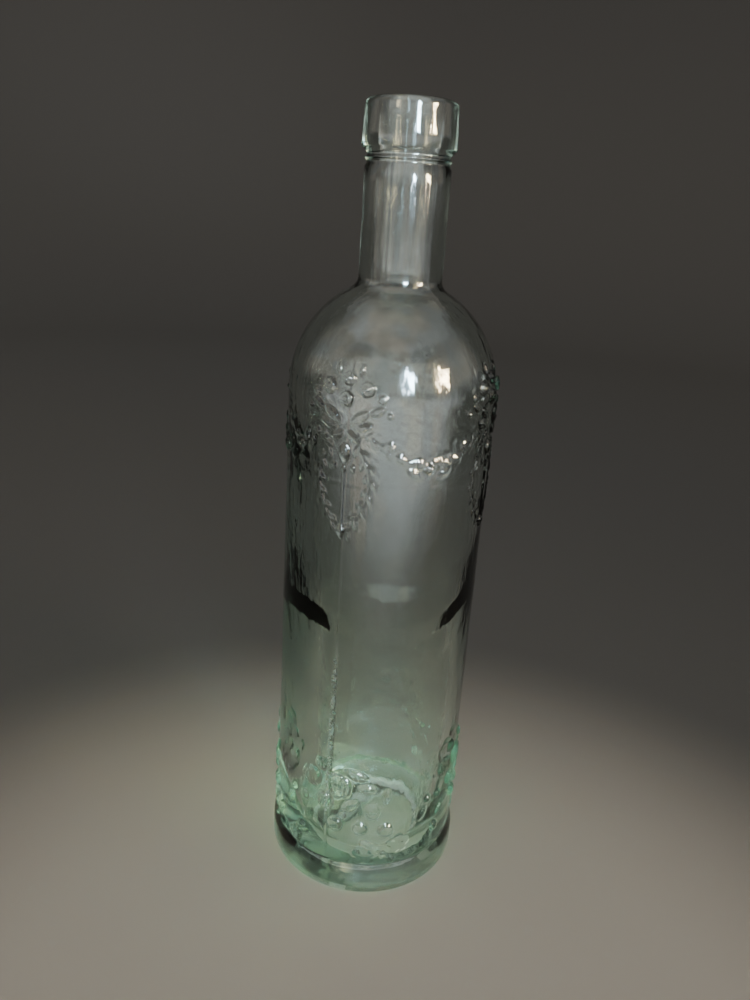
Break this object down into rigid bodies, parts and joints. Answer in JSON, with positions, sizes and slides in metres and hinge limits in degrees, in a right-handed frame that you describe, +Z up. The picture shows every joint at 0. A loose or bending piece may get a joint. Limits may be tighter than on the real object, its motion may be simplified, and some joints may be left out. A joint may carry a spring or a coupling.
{
  "type": "oil and vinegar bottle",
  "caption": "Tall round glass bottle with a collared open mouth, straight neck, round shoulder and raised ornament, for oil or vinegar.",
  "frame": {"origin": "middle of the base, on the plane that the bottle stands on", "axes": "+Z up along the bottle's axis, towards the mouth; -Y faces the picture's camera, +X to its right"},
  "size_m": [0.082, 0.082, 0.3085],
  "materials": {
    "glass": "clear pale green glass with a fire-polished surface"
  },
  "bodies": {
    "root": {"glass_bottle": "glass"}
  },
  "joints": []
}
